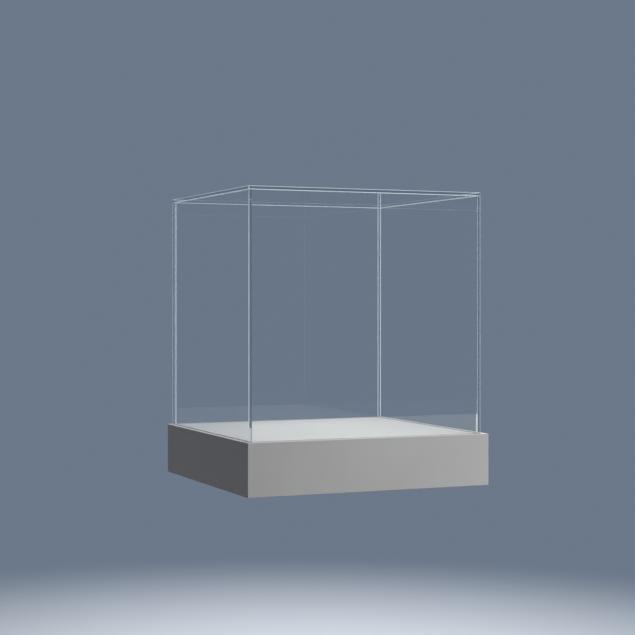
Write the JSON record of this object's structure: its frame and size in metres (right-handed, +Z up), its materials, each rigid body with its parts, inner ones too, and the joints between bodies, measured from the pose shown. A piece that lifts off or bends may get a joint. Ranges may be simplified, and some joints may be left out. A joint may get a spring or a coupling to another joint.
{
  "type": "wall display case",
  "caption": "Clear five-sided lift-off cover standing in a groove on a white floating box base that slides on to the rods of a hidden wall bracket.",
  "frame": {"origin": "centre of the four wall screw holes, on the wall plate's back face, which lies on the wall", "axes": "+X to the right along the wall as seen from the front, +Y into the wall, +Z up"},
  "size_m": [0.4, 0.375, 0.455],
  "materials": {
    "clear_acrylic": "polished",
    "white_lacquer": "satin",
    "bare_board": "matte",
    "softwood": "matte",
    "beech": "matte",
    "zinc_screw": "satin",
    "brass_insert": "satin",
    "black_steel": "satin",
    "white_plastic": "matte",
    "black_coated_steel": "satin",
    "bright_steel": "satin"
  },
  "bodies": {
    "wall_bracket": {"wall_plate": "black_coated_steel", "left_rod": "bright_steel", "right_rod": "bright_steel", "rod_bolts": "black_steel"},
    "base": {"deck_board": "white_lacquer", "front_panel": "white_lacquer", "left_panel": "white_lacquer", "right_panel": "white_lacquer", "back_board": "bare_board", "bottom_panel": "white_lacquer", "left_bearer": "softwood", "right_bearer": "softwood", "left_corner_block": "softwood", "right_corner_block": "softwood", "deck_dowels": "beech", "front_dowels": "beech", "back_dowels": "beech", "bearer_screws": "zinc_screw", "bottom_screws": "zinc_screw", "threaded_inserts": "brass_insert", "lock_screws": "black_steel", "access_caps": "white_plastic"},
    "cover": {"cover_top_pane": "clear_acrylic", "cover_front_pane": "clear_acrylic", "cover_back_pane": "clear_acrylic", "cover_left_pane": "clear_acrylic", "cover_right_pane": "clear_acrylic"}
  },
  "joints": [
    {"name": "base_slide", "type": "slide", "parent": "wall_bracket", "child": "base", "axis": [0, -1, 0], "range_m": [0, 0.27]},
    {"name": "cover_lift", "type": "slide", "parent": "base", "child": "cover", "axis": [0, 0, 1], "range_m": [0, 0.4]}
  ]
}
